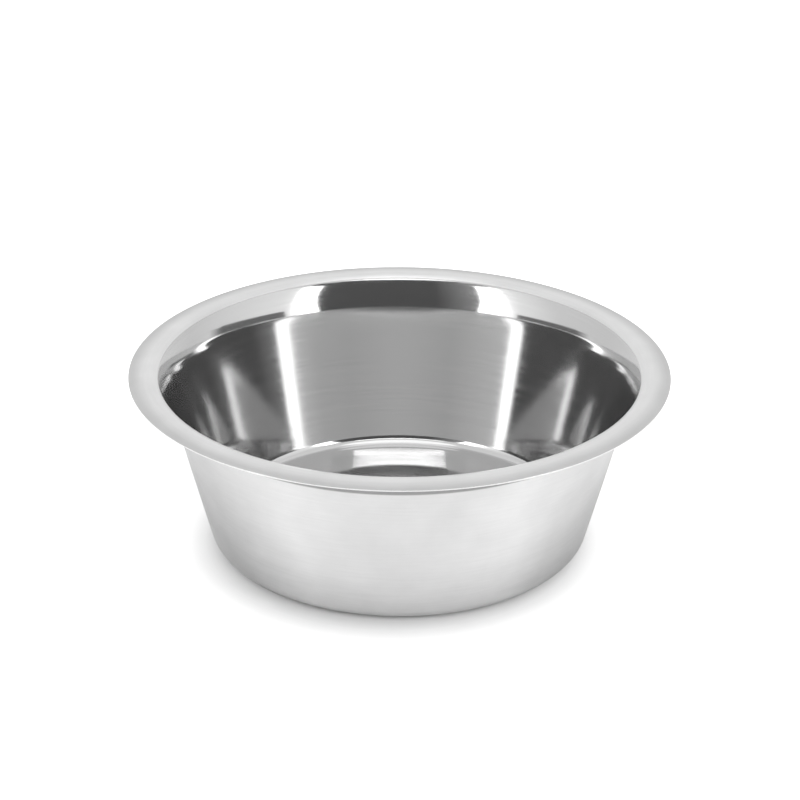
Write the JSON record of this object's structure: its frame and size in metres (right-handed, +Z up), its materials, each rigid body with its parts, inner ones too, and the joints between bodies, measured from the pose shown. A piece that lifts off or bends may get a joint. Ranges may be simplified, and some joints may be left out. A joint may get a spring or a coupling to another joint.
{
  "type": "dog bowl",
  "caption": "Round single-wall stainless steel pet bowl pressed from sheet, with a flat base, a leaning wall that flares at the top, and a broad low-arched rim with a cut lip.",
  "frame": {"origin": "centre of the base, on the surface that the bowl stands on", "axes": "+Z up along the bowl's axis of revolution; X and Y are free, because the bowl is round"},
  "size_m": [0.2219, 0.2218, 0.0747],
  "materials": {
    "stainless_steel": "mirror polished inside, satin rim and outside"
  },
  "bodies": {
    "root": {"bowl": "stainless_steel"}
  },
  "joints": []
}
